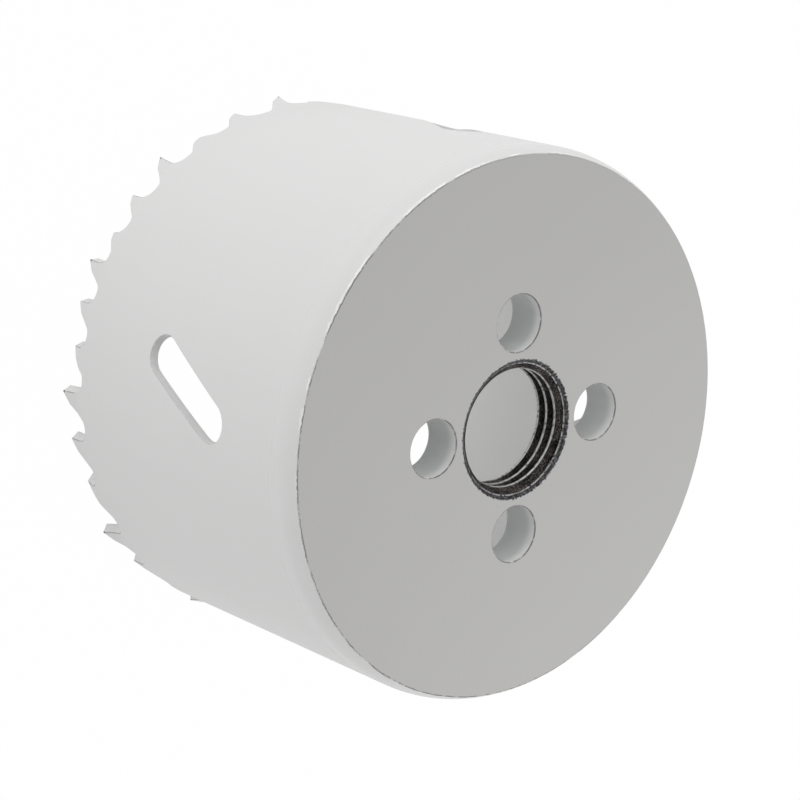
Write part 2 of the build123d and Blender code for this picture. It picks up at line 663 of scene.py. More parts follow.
class Skin:
    """Collects one piece's points and faces in millimetres."""

    def __init__(self):
        self.points = []
        self.edge_darkening = []
        self.faces = []

    def row(self, points, edge_darkening=0.0):
        """Adds a row of points and returns their numbers."""
        start = len(self.points)
        self.points.extend(points)
        self.edge_darkening.extend([edge_darkening] * len(points))
        return list(range(start, len(self.points)))

    def strip(self, rows, closed=False):
        """Adds the faces between each row and the next."""
        for first, second in zip(rows, rows[1:]):
            count = len(first)
            for near in range(count if closed else count - 1):
                far = (near + 1) % count
                self.faces.append((first[near], first[far], second[far], second[near]))

    def fill(self, outline, holes, inner, places):
        """Fills a flat outline round its holes with triangles, once for each place."""
        corners = [Vector(point) for point in np.vstack([outline, *holes, inner])]
        start = len(outline)
        edges = []
        for hole in holes:
            numbers = range(start, start + len(hole))
            edges += list(zip(numbers, [*numbers[1:], numbers[0]]))
            start += len(hole)
        found, _, triangles, *_ = delaunay_2d_cdt(
            corners, edges, [list(range(len(outline)))], INSIDE_OUTLINE, SAME_POINT
        )
        flat = np.array([tuple(point) for point in found])
        middles = np.array([flat[list(triangle)].mean(axis=0) for triangle in triangles])
        kept = np.ones(len(triangles), bool)
        for hole in holes:
            kept &= ~inside(middles, hole)
        for place in places:
            numbers = self.row(place(flat))
            for triangle in np.array([list(t) for t in triangles])[kept]:
                self.faces.append(tuple(numbers[corner] for corner in triangle))

    def edge(self, line, closed, rings, place, amount=1.0):
        """Adds the rounded, darkened edges of a sheet along a flat line that has it on its left."""
        rows = []
        for number, (inset, depth) in enumerate(rings):
            edge_darkening = amount if number in DARKENED_RINGS else 0.0
            rows.append(self.row(place(moved_left(line, closed, inset), depth), edge_darkening))
        self.strip(rows, closed)

    def object(self, name):
        """Makes the piece one mesh in metres, with its edges' darkening as an attribute."""
        mesh = bpy.data.meshes.new(name)
        mesh.from_pydata((np.array(self.points) * MM).tolist(), [], self.faces)
        layer = mesh.attributes.new("edge_darkening", "FLOAT", "POINT")
        layer.data.foreach_set("value", self.edge_darkening)
        piece = bpy.data.objects.new(name, mesh)
        bpy.context.scene.collection.objects.link(piece)
        return piece


def modifier_result(name, source, tree, values):
    """Runs a geometry tree on an object and returns the result as a plain mesh."""
    modifier = source.modifiers.new(name, "NODES")
    modifier.node_group = tree
    for item in tree.interface.items_tree:
        if item.item_type == "SOCKET" and item.in_out == "INPUT" and item.name in values:
            modifier[item.identifier] = values[item.name]
    graph = bpy.context.evaluated_depsgraph_get()
    mesh = bpy.data.meshes.new_from_object(source.evaluated_get(graph), depsgraph=graph)
    source.modifiers.remove(modifier)
    return mesh


def geometry_tree(name, inputs):
    """A new geometry tree with a geometry output, named inputs, and the wrapped input sockets."""
    tree = bpy.data.node_groups.new(name, "GeometryNodeTree")
    tree.interface.new_socket("Geometry", in_out="OUTPUT", socket_type="NodeSocketGeometry")
    tree.interface.new_socket("Geometry", in_out="INPUT", socket_type="NodeSocketGeometry")
    for label, kind in inputs.items():
        tree.interface.new_socket(label, in_out="INPUT", socket_type=kind)
    graph = Graph(tree)
    source = tree.nodes.new("NodeGroupInput")
    return graph, {socket.name: Value(graph, socket) for socket in source.outputs if socket.name}


def finish_tree(graph, geometry, material):
    """Ends a geometry tree in its material and its output."""
    painted = graph.add("GeometryNodeSetMaterial", {}, {"Geometry": geometry, "Material": material})
    graph.add("NodeGroupOutput", {}, {"Geometry": painted})
    return graph.tree


def ring_tree():
    """Repeats one sector round the saw's axis and welds the sectors together."""
    graph, given = geometry_tree(
        "Repeat round the axis",
        {
            "Count": "NodeSocketInt",
            "Weld Distance": "NodeSocketFloat",
            "Material": "NodeSocketMaterial",
        },
    )
    points = graph.add("GeometryNodePoints", {}, {"Count": given["Count"]})
    turn = graph.add("GeometryNodeInputIndex") * (2 * pi) / given["Count"]
    euler = graph.add("ShaderNodeCombineXYZ", {}, {"Z": turn})
    rotation = graph.add("FunctionNodeEulerToRotation", {}, {"Euler": euler})
    copies = graph.add(
        "GeometryNodeInstanceOnPoints",
        {},
        {"Points": points, "Instance": given["Geometry"], "Rotation": rotation},
    )
    joined = graph.add("GeometryNodeRealizeInstances", {}, {"Geometry": copies})
    welded = graph.add(
        "GeometryNodeMergeByDistance", {}, {"Geometry": joined, "Distance": given["Weld Distance"]}
    )
    return finish_tree(graph, welded, given["Material"])


def thread_tree():
    """Makes the wall of a threaded bore with a countersink at each end, from its sizes alone."""
    sizes = (
        "Minor Radius",
        "Major Radius",
        "Pitch",
        "Mouth Radius",
        "Mouth Depth",
        "Back Radius",
        "First Crest",
        "Crest Angle",
        "Start Angle",
        "Top",
        "Depth",
        "Weld Distance",
    )
    kinds = {size: "NodeSocketFloat" for size in sizes}
    kinds |= {"Columns": "NodeSocketInt", "Rows": "NodeSocketInt", "Material": "NodeSocketMaterial"}
    graph, given = geometry_tree("Threaded bore", kinds)
    grid = graph.add(
        "GeometryNodeMeshGrid",
        {},
        {
            "Size X": 1.0,
            "Size Y": 1.0,
            "Vertices X": given["Columns"] + 1,
            "Vertices Y": given["Rows"] + 1,
        },
    )
    place = graph.add("GeometryNodeInputPosition")
    across = graph.add("ShaderNodeSeparateXYZ", {}, {"Vector": place}, "X") + 0.5
    share = 0.5 - graph.add("ShaderNodeSeparateXYZ", {}, {"Vector": place}, "Y")
    angle = across * (2 * pi) + given["Start Angle"]
    down = share * given["Depth"]

    # A right-hand thread goes deeper as it turns clockwise, seen from outside. Ten whole turns are
    # added, which keeps the phase's number positive.
    turns = (given["Crest Angle"] - angle) / (2 * pi)
    phase = graph.math("FRACT", (down - given["First Crest"]) / given["Pitch"] - turns + 10.0)
    from_crest = 1.0 - abs(phase * 2.0 - 1.0)
    height = graph.add(
        "ShaderNodeMapRange",
        {},
        {"Value": from_crest, "From Min": CREST_END, "From Max": ROOT_START},
    )
    thread = given["Minor Radius"] + (given["Major Radius"] - given["Minor Radius"]) * height
    slope = (given["Mouth Radius"] - given["Minor Radius"]) / given["Mouth Depth"]
    mouth = given["Mouth Radius"] - down * slope
    back = given["Back Radius"] - (given["Depth"] - down) * slope
    radius = graph.math("MAXIMUM", graph.math("MAXIMUM", thread, mouth), back)
    moved = graph.add(
        "ShaderNodeCombineXYZ",
        {},
        {
            "X": radius * graph.math("COSINE", angle),
            "Y": radius * graph.math("SINE", angle),
            "Z": given["Top"] - down,
        },
    )
    bent = graph.add("GeometryNodeSetPosition", {}, {"Geometry": grid, "Position": moved})
    welded = graph.add(
        "GeometryNodeMergeByDistance", {}, {"Geometry": bent, "Distance": given["Weld Distance"]}
    )
    return finish_tree(graph, welded, given["Material"])


def joined_piece(name, meshes, material):
    """Welds meshes into one closed piece with outward faces and smooth shading."""
    form = bmesh.new()
    for mesh in meshes:
        form.from_mesh(mesh)
    bmesh.ops.remove_doubles(form, verts=form.verts, dist=WELD_DISTANCE * MM)
    bmesh.ops.dissolve_degenerate(form, edges=form.edges, dist=WELD_DISTANCE * MM / 4)
    bmesh.ops.recalc_face_normals(form, faces=form.faces)
    for face in form.faces:
        face.smooth = True
        face.material_index = 0
    mesh = bpy.data.meshes.new(name)
    form.to_mesh(mesh)
    form.free()
    mesh.materials.clear()
    mesh.materials.append(material)
    piece = bpy.data.objects.new(name, mesh)
    bpy.context.scene.collection.objects.link(piece)
    return piece


def true_normals(mesh, rule):
    """Gives points that the rule knows their exact normals, and others their large faces' ones."""
    places = np.array([vertex.co for vertex in mesh.vertices])
    normals = np.zeros_like(places)
    for face in mesh.polygons:
        normals[list(face.vertices)] += np.array(face.normal) * face.area
    normals /= np.maximum(np.linalg.norm(normals, axis=1), 1e-20)[:, None]
    known, exact = rule(places, normals)
    normals[known] = exact[known]
    mesh.normals_split_custom_set_from_vertices(normals.tolist())


def dressed(piece, node):
    """Rides a finished piece on the saw's body in place of its solid."""
    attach(piece, BODY)
    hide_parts(node)


def new_material(name):
    """An empty material and the graph that fills it."""
    material = bpy.data.materials.new(name)
    material.use_nodes = True
    material.node_tree.nodes.clear()
    return material, Graph(material.node_tree)


def close_material(graph, shader):
    """Links a shader to the material's output."""
    graph.add("ShaderNodeOutputMaterial", {}, {"Surface": shader})


def axis_places(graph, place):
    """The X, Y and Z places on the saw and the distance from its axis."""
    x, y, z = (graph.add("ShaderNodeSeparateXYZ", {}, {"Vector": place}, axis) for axis in "XYZ")
    return x, y, z, graph.math("SQRT", x * x + y * y)


def enamel_color(graph, place, color):
    """Glossy enamel with a faint cloudiness."""
    clouds = graph.noise(place, 90.0, 2.0)
    shade = tuple(channel * 0.97 for channel in color)
    return graph.blend(clouds, (*color, 1), (*shade, 1))


def weld_ridges(graph, place, height):
    """The low uneven ridges that the weld to the back plate leaves under the enamel."""
    drift = (graph.noise(place, 110.0, 2.0) - 0.5) * (1.6 * MM)
    above_seam = height - wall_high.z + drift
    near = graph.band(above_seam, -0.5 * MM, 0.35 * MM)
    far = graph.band(above_seam, 0.6 * MM, 0.5 * MM)
    return (near + far * 0.6) * graph.ramp(graph.noise(place, 70.0, 1.0), 0.4, 0.6)


def enamel(wall):
    """Glossy enamel over steel, thin and darkened with painted shade along the tooth edges, and
    worn off the outward tips.
    """
    material, graph = new_material("Glossy enamel")
    place = graph.add("ShaderNodeTexCoord", {}, {}, "Object")
    _, _, z, radius = axis_places(graph, place)
    edge_darkening = graph.add("ShaderNodeAttribute", {"attribute_name": "edge_darkening"}, {}, "Fac")
    grit = graph.noise(place, 1500.0, 3.0, 0.6)

    # Dark steel shows through the thin enamel along the edges, with painted shade there too, and is
    # bare at the tips that stand out from the wall
    edges = edge_darkening * graph.ramp(grit, 0.25, 0.55) * 0.5
    outside = wall.diameter / 2
    tips = graph.ramp(radius, outside + 0.4 * MM, outside + 0.55 * MM)
    tips = tips * graph.ramp(z, 0.4 * MM, 0.1 * MM) * graph.ramp(grit, 0.3, 0.5)
    bare = graph.math("MINIMUM", edges + tips, 1.0)
    base = graph.blend(bare, enamel_color(graph, place, tuple(wall.color)), WORN_AND_SHADED_ENAMEL)

    # Fine orange peel, and the ridges of the weld
    relief = graph.noise(place, 420.0, 1.5) + weld_ridges(graph, place, z) * 1.5
    bump = graph.add(
        "ShaderNodeBump", {}, {"Strength": 0.15, "Distance": 0.15 * MM, "Height": relief}
    )
    shader = graph.add(
        "ShaderNodeBsdfPrincipled",
        {},
        {"Base Color": base, "Roughness": 0.32 + bare * 0.3, "IOR": 1.45, "Normal": bump},
    )
    close_material(graph, shader)
    return material


def face_paint(graph, plate, clouds, speck):
    """The face's matt paint, with faint clouds and a fine grain."""
    tone = (clouds - 0.5) * 0.1 + (speck - 0.5) * 0.1 + 0.5
    dark = tuple(channel * 0.86 for channel in plate.color)
    light = tuple(min(channel * 1.14, 1.0) for channel in plate.color)
    return graph.blend(tone, (*dark, 1), (*light, 1))


def bore_steel(graph, place, axis, thread, grit, patches, speck):
    """The bore's bare steel: where it is, its colour, and how much of it is rubbed bright or
    carries a painted highlight.
    """
    x, y, z, radius = axis
    top = plate_high.z

    # The paint round the bore ends in a ring with a hairy edge
    around = graph.add(
        "ShaderNodeCombineXYZ", {}, {"X": x / radius, "Y": y / radius, "Z": radius * 60.0}
    )
    hairs = graph.noise(around, 42.0, 2.0, 0.6)
    ragged = radius + (hairs - 0.5) * (0.7 * MM) + (grit - 0.5) * (0.25 * MM)
    bare = graph.ramp(ragged, thread.mouth_radius + 0.06 * MM, thread.mouth_radius - 0.04 * MM)

    # The thread's crests are rubbed bright and carry a painted highlight too, and a lip in its
    # countersink is a painted highlight
    crest = graph.ramp(radius, thread.minor_radius + 0.15 * MM, thread.minor_radius + 0.04 * MM)
    crest = crest * graph.ramp(grit, 0.28, 0.5)
    lip_highlight = graph.band(z, top - 0.34 * MM, 0.07 * MM, 0.02 * MM) * graph.ramp(grit, 0.4, 0.54)
    rubbed_and_highlight = graph.math("MAXIMUM", crest, lip_highlight * 0.7)

    # The thread is burnt dark, and the countersink above the lip is gritty
    dust = graph.noise(place, 8000.0, 1.0)
    burnt = graph.blend(graph.ramp(dust * 0.7 + patches * 0.3, 0.47, 0.64), *BURNT_STEEL)
    gritty = graph.blend(graph.ramp(dust * 0.6 + speck * 0.4, 0.44, 0.66), *GRITTY_STEEL)
    steel = graph.blend(graph.ramp(z, top - 0.38 * MM, top - 0.28 * MM), burnt, gritty)
    return bare, graph.blend(rubbed_and_highlight, steel, RUBBED_AND_HIGHLIGHT_STEEL), rubbed_and_highlight


def plate_paint(plate, thread, wall):
    """Matt paint on the face, the wall's enamel on the rim and in the holes, with painted shade
    deep in the holes and a painted highlight beside the rim, and bare steel in the bore.
    """
    material, graph = new_material("Matt plate paint")
    place = graph.add("ShaderNodeTexCoord", {}, {}, "Object")
    axis = axis_places(graph, place)
    x, y, z, radius = axis
    edge_darkening = graph.add("ShaderNodeAttribute", {"attribute_name": "edge_darkening"}, {}, "Fac")
    grit = graph.noise(place, 1800.0, 3.0, 0.65)
    patches = graph.noise(place, 300.0, 3.0)
    clouds = graph.noise(place, 60.0, 3.0)
    speck = graph.noise(place, 3000.0, 2.0, 0.6)
    top = plate_high.z
    edge = plate.face_radius

    # The wall's enamel covers the rim and the holes, up to a ragged line on the edge of the face
    edge_place = radius + (grit - 0.5) * (0.26 * MM)
    rim = graph.ramp(edge_place, edge - 0.09 * MM, edge - 0.03 * MM)
    rim = graph.math("MAXIMUM", rim, graph.ramp(z, top - 0.03 * MM, top - 0.1 * MM))
    # Deeper in the holes the enamel turns grey: painted shade
    depth_shade = graph.ramp(z, top - 0.2 * MM, top - 1.7 * MM)
    depth_shade = depth_shade * graph.ramp(z, plate_low.z, plate_low.z + 0.3 * MM)
    depth_shade = depth_shade * graph.ramp(radius, edge - 0.5 * MM, edge - 1.0 * MM)
    coat_and_shade = graph.blend(depth_shade, enamel_color(graph, place, tuple(wall.color)), HOLE_PAINTED_SHADE)
    paint = graph.blend(rim, face_paint(graph, plate, clouds, speck), coat_and_shade)

    # A painted highlight lies outside that line, on the side of the saw towards the key lamp
    rim_highlight = graph.band(edge_place, edge + 0.1 * MM, 0.09 * MM, 0.03 * MM)
    rim_highlight = rim_highlight * graph.ramp((x - y) / radius, 0.6, 1.2) * graph.ramp(patches, 0.46, 0.6)
    paint = graph.blend(rim_highlight, paint, RIM_PAINTED_HIGHLIGHT)

    # Steel shows along the line, darkest towards one side of the saw, and on the edges of the holes
    toward = (x * cos(plate.dark_line_side) + y * sin(plate.dark_line_side)) / radius
    line = graph.band(edge_place, edge - 0.05 * MM, 0.11 * MM, 0.035 * MM)
    line = line * graph.ramp(z, top - 0.2 * MM, top - 0.1 * MM)
    line = line * graph.ramp(grit * 0.5 + patches * 0.5, 0.37, 0.54)
    line = line * graph.ramp(toward, -0.9, 0.5, 0.25, 1.0)
    holes = edge_darkening * graph.ramp(grit * 0.6 + patches * 0.4, 0.38, 0.54)
    worn = graph.math("MINIMUM", line * 0.85 + holes * 0.85, 1.0)
    painted = graph.blend(worn, paint, WORN_PAINT)

    bare, steel, rubbed_and_highlight = bore_steel(graph, place, axis, thread, grit, patches, speck)
    grain = speck * 0.6 + clouds * 0.4
    height = grain * (1.0 - bare) + grit * bare * 3.0 + weld_ridges(graph, place, z)
    bump = graph.add(
        "ShaderNodeBump", {}, {"Strength": 0.25, "Distance": 0.08 * MM, "Height": height}
    )
    shader = graph.add(
        "ShaderNodeBsdfPrincipled",
        {},
        {
            "Base Color": graph.blend(bare, painted, steel),
            "Metallic": bare,
            "Roughness": 0.55 - rim * (1.0 - bare) * 0.3 - rubbed_and_highlight * bare * 0.15,
            "Normal": bump,
        },
    )
    close_material(graph, shader)
    return material


def wall_profile(wall):
    """The flat lower edge of one pattern of teeth, and the tooth data that the set needs."""
    radius = wall.diameter / 2 / MM
    pattern_angle = 2 * pi / PATTERN_REPEATS
    angles = [pattern_angle * share / sum(PITCH_PATTERN) for share in PITCH_PATTERN]
    pitches = [radius * angle for angle in angles]
    forms = (
        (0.0, 0.0),
        (-wall.inward_set / MM, wall.inward_raise / MM),
        (wall.outward_set / MM, 0.0),
    )
    relief_rise = RELIEF_LENGTH * tan(RELIEF_ANGLE)
    back_length = (GULLET_DEPTH - relief_rise) / tan(BACK_ANGLE)
    floor_start = RELIEF_LENGTH + back_length + BACK_RADIUS * tan(BACK_ANGLE / 2)
    floor_middle = (floor_start + 1 - FACE_RADIUS) / 2
    first_tip = radius * radians(FIRST_TOOTH_ANGLE)
    count = len(pitches)
    tips = [first_tip + sum(pitches[:tooth]) for tooth in range(count)]
    start = first_tip - (1 - floor_middle) * pitches[-1]
    corners = [(start, GULLET_DEPTH * pitches[-1])]
    radii = []
    for tooth in range(count):
        before = pitches[tooth - 1]
        pitch = pitches[tooth]
        tip_height = forms[tooth % 3][1]
        tip = tips[tooth]
        relief_top = max(relief_rise * pitch, tip_height + relief_rise * pitch / 2)
        shift = (relief_top - relief_rise * pitch) / tan(BACK_ANGLE)
        corners.append((tip, GULLET_DEPTH * before))
        radii.append(FACE_RADIUS * before)
        corners.append((tip, tip_height))
        radii.append(SHARP_TIP_RADIUS if forms[tooth % 3][0] > 0 else wall.tip_radius / MM)
        corners.append((tip + RELIEF_LENGTH * pitch + shift, relief_top))
        radii.append(RELIEF_END_RADIUS)
        corners.append((tip + (RELIEF_LENGTH + back_length) * pitch, GULLET_DEPTH * pitch))
        radii.append(BACK_RADIUS * pitch)
    corners.append((start + radius * pattern_angle, GULLET_DEPTH * pitches[-1]))
    line = filleted(corners, radii, LINE_STEP)
    lands = [tip - (1 - floor_middle) * pitches[tooth - 1] for tooth, tip in enumerate(tips)]
    set_height = SET_START * GULLET_DEPTH * min(pitches)
    leans = np.array([forms[tooth % 3] for tooth in range(count)])
    return line, lands, leans, set_height


def wrapped_round(flat, radius, reach, skew=0.0):
    """Flat points wrapped round the saw at a reach from its axis. X is measured at the radius."""
    flat = np.array(flat, float)
    angle = (flat[:, 0] - skew) / radius
    return np.stack((reach * np.cos(angle), reach * np.sin(angle), flat[:, 1]), axis=1)


def teeth_skin(wall):
    """One pattern of teeth and the wall above them, up to the join."""
    radius = wall.diameter / 2 / MM
    thickness = wall.thickness / MM
    edge_radius = wall.edge_radius / MM
    line, lands, leans, set_height = wall_profile(wall)

    def wrapped(flat, depth=0.0):
        """Wraps flat points round the saw, with the teeth leaning and the gullets slanted."""
        tooth = np.clip(np.searchsorted(lands, flat[:, 0]) - 1, 0, len(leans) - 1)
        lean, tip = leans[tooth].T
        bend = np.clip((set_height - flat[:, 1]) / (set_height - tip), 0, 1) ** SET_CURVE
        reach = radius - depth + np.where(flat[:, 1] < set_height, lean * bend, 0)
        slant = np.clip((JOIN_HEIGHT - flat[:, 1]) / (JOIN_HEIGHT - SKEW_FADE_HEIGHT), 0, 1)
        skew = wall.gullet_skew / MM * depth / thickness * slant
        return wrapped_round(flat, radius, reach, skew)

    skin = Skin()
    rings = edge_rings(edge_radius, edge_radius, thickness)
    skin.edge(line, False, rings, wrapped)

    # The sides lean a little, so that the columns at the join are those of the plain wall
    lower = moved_left(line, False, rings[0][0])
    start, end = line[0][0], line[-1][0]
    foot = lower[0][1]
    span = 2 * pi * radius / PATTERN_REPEATS
    columns = COLUMNS // PATTERN_REPEATS
    column_width = span / columns
    shift = round(start / column_width) * column_width - start
    steps = np.arange(1, SIDE_PIECES)[:, None]
    side = np.array([(shift, JOIN_HEIGHT - foot)]) * steps / SIDE_PIECES
    upper = [(end + shift - column_width * column, JOIN_HEIGHT) for column in range(columns + 1)]
    outline = np.vstack([lower, side + (end, foot), upper, side[::-1] + (start, foot)])

    across = np.arange(1, columns * 2) * span / columns / 2 + start
    rows = np.arange(TOOTH_GRID_START, JOIN_HEIGHT - JOIN_GAP, TOOTH_GRID_STEP)
    inner = np.array([(x, y) for y in rows for x in across])
    inner = clear_of(inner[inside(inner, outline)], [outline], OUTLINE_GAP)
    skin.fill(outline, [], inner, [wrapped, lambda flat: wrapped(flat, thickness)])
    return skin


def slot_outlines(wall):
    """The flat outlines of a slot of each pair, with the wall on their left."""
    radius = wall.diameter / 2 / MM
    slot_height = (plate_high.z - wall.slot_drop) / MM
    half = wall.slot_width / MM / 2
    reach = wall.slot_length / MM / 2 - half
    lean = pi / 2 - wall.slot_tilt
    turns = np.arange(SLOT_POINTS) / SLOT_POINTS * 2 * pi
    ends = np.where(turns < pi, 1, -1) * reach
    slot = np.stack((ends + half * np.sin(turns), -half * np.cos(turns)), axis=1)
    slot = filleted(np.vstack([slot, slot[:1]]), [0] * (SLOT_POINTS - 1), LINE_STEP)[:-1]
    turned = np.array(((cos(lean), sin(lean)), (-sin(lean), cos(lean))))
    slot = (slot @ turned + (0, slot_height))[::-1]
    return [slot, slot + (wall.slot_pair_angle * radius, 0)]


def panel_skin(wall):
    """One part of the plain wall above the teeth, with a slot of each pair."""
    radius = wall.diameter / 2 / MM
    thickness = wall.thickness / MM
    top = wall_high.z / MM

    def wrapped(flat, depth=0.0):
        """Wraps flat points round the saw."""
        return wrapped_round(flat, radius, radius - depth)

    skin = Skin()
    slots = slot_outlines(wall)
    rings = edge_rings(wall.slot_edge_radius / MM, wall.edge_radius / MM / 2, thickness)
    for slot in slots:
        skin.edge(slot, True, rings, wrapped, SLOT_EDGE_DARKENING)

    # The first slot's middle is at zero, a quarter of the way along the panel
    columns = COLUMNS // SLOT_PAIR_COUNT
    column_width = 2 * pi * radius / COLUMNS
    places = [column_width * (column - round(columns / 4)) for column in range(columns + 1)]
    rise = top - JOIN_HEIGHT
    heights = [JOIN_HEIGHT + rise * row / PANEL_ROWS for row in range(PANEL_ROWS + 1)]
    upper = [(x, top) for x in reversed(places)]
    outline = np.array(
        [(x, JOIN_HEIGHT) for x in places[:-1]]
        + [(places[-1], height) for height in heights[:-1]]
        + upper[:-1]
        + [(places[0], height) for height in reversed(heights[1:])]
    )
    grid = np.array([(x, y) for y in heights[1:-1] for x in places[1:-1]])
    for inset, depth in (rings[0], rings[-1]):
        holes = [moved_left(slot, True, inset) for slot in slots]
        inner = grid[~inside(grid, holes[0]) & ~inside(grid, holes[1])]
        inner = clear_of(inner, holes, HOLE_GAP)
        skin.fill(outline, holes, inner, [lambda flat, depth=depth: wrapped(flat, depth)])
    skin.strip([skin.row(wrapped(upper)), skin.row(wrapped(upper, thickness))])
    return skin


class HOLESAW_OT_cup_wall(bpy.types.Operator):
    """Build the enamelled wall with its teeth and slanted slots"""

    bl_idname = "holesaw.cup_wall"
    bl_label = "Cup Wall"

    def execute(self, context):
        wall = context.scene.holesaw_wall
        radius = wall.diameter / 2 / MM
        inside_radius = radius - wall.thickness / MM
        set_height = wall_profile(wall)[3]
        material = enamel(wall)
        ring = ring_tree()
        tiles = ((teeth_skin(wall), PATTERN_REPEATS), (panel_skin(wall), SLOT_PAIR_COUNT))
        meshes = []
        for skin, count in tiles:
            tile = skin.object("wall_tile")
            values = {"Count": count, "Weld Distance": WELD_DISTANCE * MM, "Material": material}
            meshes.append(modifier_result("Repeats", tile, ring, values))
            bpy.data.objects.remove(tile)
        piece = joined_piece("enamelled_cup_wall", meshes, material)

        def round_faces(places, normals):
            """Points on the wall's inner and outer faces look straight away from or to the axis."""
            distance = np.linalg.norm(places[:, :2], axis=1) / MM
            out = places * (1, 1, 0) / np.maximum(distance * MM, 1e-9)[:, None]
            along = (out * normals).sum(axis=1)
            outer = abs(distance - radius) < ON_FACE
            inner = abs(distance - inside_radius) < ON_FACE
            above = places[:, 2] / MM > set_height
            known = (outer | inner) & (np.abs(along) > ROUND_FACING) & above
            return known, out * np.sign(along)[:, None]

        true_normals(piece.data, round_faces)
        dressed(piece, "cup_wall")
        return {"FINISHED"}


def rim_profile(plate, radius, spigot):
    """The plate's section from its face over the curved rim to the spigot's lower edge."""
    top = plate_high.z / MM
    bottom = plate_low.z / MM
    seat = wall_high.z / MM
    face = plate.face_radius / MM

    # The curve is tangent to the side, and its corner with the face is rounded
    inset = radius - face
    height = plate.rim_height / MM
    curve = (inset**2 + height**2) / (2 * inset)
    sweep = atan2(height, curve - inset)
    corners = [(face - RIM_RUN_IN, top), (face, top)]
    for step in range(1, RIM_PIECES + 1):
        turn = sweep * (1 - step / RIM_PIECES)
        corners.append((radius - curve * (1 - cos(turn)), top - height + curve * sin(turn)))
    corners += [(radius, seat), (spigot, seat), (spigot, bottom)]
    radii = [plate.rim_edge_radius / MM] + [0] * (len(corners) - 3)
    profile = filleted(corners, radii, RIM_STEP)
    return profile[profile[:, 0] > face - RIM_MARGIN]


def plate_skin(plate, thread, wall, angles):
    """One sector of the plate between two angles, with its drive-pin hole and without the bore."""
    radius = wall.diameter / 2 / MM
    spigot = radius - (wall.thickness + plate.spigot_clearance) / MM
    top = plate_high.z / MM
    bottom = plate_low.z / MM
    mouth = thread.mouth_radius / MM
    back = thread.back_radius / MM
    profile = rim_profile(plate, radius, spigot)
    rim = profile[0][0]

    def ring(distance, height):
        """Points on the sector's arc at that distance from the axis."""
        across, along = distance * np.cos(angles), distance * np.sin(angles)
        return np.stack((across, along, angles * 0 + height), axis=1)

    def lifted(flat, depth=0.0):
        """Puts flat points on the plate's face, or that far below it."""
        return np.column_stack((flat, np.full(len(flat), top - depth)))

    def under(flat):
        """Puts flat points on the plate's underside, which ends at the spigot and the thread."""
        distance = np.linalg.norm(flat, axis=1)
        near, far = mouth + MOUTH_GAP, (mouth + rim) / 2
        wanted = np.interp(distance, (mouth, near, far, rim), (back, near, far, spigot))
        return np.column_stack((flat * (wanted / distance)[:, None], np.full(len(flat), bottom)))

    skin = Skin()
    skin.strip([skin.row(ring(distance, height)) for distance, height in profile])

    # The pin hole's wall, with rounded edges
    middle = plate.pin_angle
    pin_place = plate.pin_circle / 2 / MM * np.array((cos(middle), sin(middle)))
    turns = -np.arange(PIN_POINTS) / PIN_POINTS * 2 * pi
    pin = pin_place + plate.pin_radius / MM * np.stack((np.cos(turns), np.sin(turns)), axis=1)
    edge_radius = plate.pin_edge_radius / MM
    rings = edge_rings(edge_radius, edge_radius, top - bottom)
    skin.edge(pin, True, rings, lifted)

    # The face and the underside
    hole = moved_left(pin, True, rings[0][0])
    reaches = np.linspace(rim, mouth, FACE_RINGS)[1:-1]
    first, last = (np.array((cos(angle), sin(angle))) for angle in (angles[0], angles[-1]))
    outline = np.vstack(
        [
            ring(rim, top)[:, :2],
            [last * reach for reach in reaches],
            ring(mouth, top)[::-1, :2],
            [first * reach for reach in reaches[::-1]],
        ]
    )
    spokes = angles[SPOKE_STEP:-SPOKE_STEP:SPOKE_STEP]
    inner = np.array(
        [(reach * cos(turn), reach * sin(turn)) for reach in reaches for turn in spokes]
    )
    inner = clear_of(inner[~inside(inner, hole)], [hole], HOLE_GAP)
    skin.fill(outline, [hole], inner, [lifted, under])
    return skin


class HOLESAW_OT_back_plate(bpy.types.Operator):
    """Build the painted back plate with its threaded bore and drive-pin holes"""

    bl_idname = "holesaw.back_plate"
    bl_label = "Back Plate"

    def execute(self, context):
        plate = context.scene.holesaw_plate
        thread = context.scene.holesaw_thread
        wall = context.scene.holesaw_wall
        radius = wall.diameter / 2 / MM
        columns = COLUMNS // PIN_COUNT
        span = 2 * pi / PIN_COUNT
        start = plate.pin_angle - span / 2
        angles = np.array([start + span * column / columns for column in range(columns + 1)])
        material = plate_paint(plate, thread, wall)
        tile = plate_skin(plate, thread, wall, angles).object("plate_tile")
        shared = {"Weld Distance": WELD_DISTANCE * MM, "Material": material}
        sectors = modifier_result("Sectors", tile, ring_tree(), shared | {"Count": PIN_COUNT})
        bore_sizes = {
            "Minor Radius": thread.minor_radius,
            "Major Radius": thread.major_radius,
            "Pitch": thread.pitch,
            "Mouth Radius": thread.mouth_radius,
            "Mouth Depth": thread.mouth_depth,
            "Back Radius": thread.back_radius,
            "First Crest": thread.first_crest,
            "Crest Angle": pi,
            "Start Angle": angles[0],
            "Top": plate_high.z,
            "Depth": plate_high.z - plate_low.z,
            "Columns": COLUMNS,
            "Rows": thread.rows,
        }
        bore = modifier_result("Bore", tile, thread_tree(), shared | bore_sizes)
        bpy.data.objects.remove(tile)
        piece = joined_piece("painted_back_plate", [sectors, bore], material)

        def flat_faces(places, normals):
            """Points on the flat faces look straight up or down, those on the side straight out."""
            distance = np.linalg.norm(places[:, :2], axis=1)
            side = abs(distance / MM - radius) < ON_FACE
            exact = np.zeros_like(normals)
            exact[:, 2] = np.sign(normals[:, 2])
            exact[side] = places[side] * (1, 1, 0) / distance[side, None]
            return side | (abs(normals[:, 2]) > FLAT_FACING), exact

        true_normals(piece.data, flat_faces)
        dressed(piece, "back_plate")
        return {"FINISHED"}


